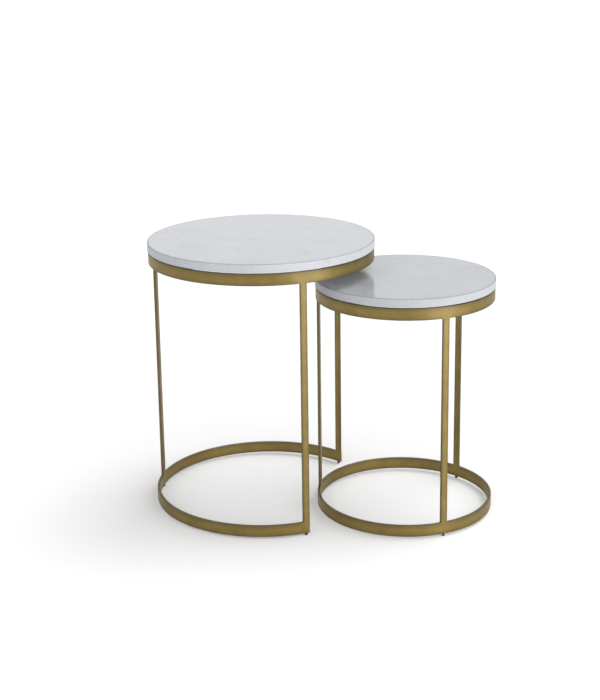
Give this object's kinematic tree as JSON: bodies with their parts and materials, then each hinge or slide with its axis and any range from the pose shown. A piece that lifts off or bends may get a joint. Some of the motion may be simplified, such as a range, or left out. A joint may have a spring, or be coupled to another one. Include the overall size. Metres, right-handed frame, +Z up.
{
  "type": "nesting tables",
  "caption": "Pair of round side tables with pale marble tops on antique-brass flat-bar frames; the smaller slides under the larger through its open base.",
  "frame": {"origin": "on the floor, in the middle of the footprint of the pair with the small table drawn out as stored", "axes": "+Z up; +X the way the small table slides out from under the large one; the pair is symmetric about Y = 0"},
  "size_m": [0.765, 0.5, 0.605],
  "materials": {
    "marble": "polished pale grey-white marble",
    "antique_brass": "satin antique-brass plated flat steel bar",
    "glide_plastic": "black moulded plastic",
    "clear_silicone": "translucent silicone",
    "screw_steel": "zinc-plated steel",
    "insert_brass": "turned brass"
  },
  "bodies": {
    "large_table": {"large_marble_top": "marble", "large_hoop": "antique_brass", "large_base": "antique_brass", "large_leg_rear": "antique_brass", "large_leg_left": "antique_brass", "large_leg_right": "antique_brass", "large_glide_rear": "glide_plastic", "large_glide_left": "glide_plastic", "large_glide_right": "glide_plastic", "large_tab_front": "antique_brass", "large_tab_left": "antique_brass", "large_tab_right": "antique_brass", "large_tab_pads": "clear_silicone", "large_top_screws": "screw_steel", "large_top_inserts": "insert_brass"},
    "small_table": {"small_marble_top": "marble", "small_hoop": "antique_brass", "small_base": "antique_brass", "small_leg_rear": "antique_brass", "small_leg_left": "antique_brass", "small_leg_right": "antique_brass", "small_glide_rear": "glide_plastic", "small_glide_left": "glide_plastic", "small_glide_right": "glide_plastic", "small_tab_front": "antique_brass", "small_tab_left": "antique_brass", "small_tab_right": "antique_brass", "small_tab_pads": "clear_silicone", "small_top_screws": "screw_steel", "small_top_inserts": "insert_brass"}
  },
  "joints": [
    {"name": "small_table_slide", "type": "slide", "parent": "large_table", "child": "small_table", "axis": [1, 0, 0], "range_m": [-0.3638, 0.2]}
  ]
}
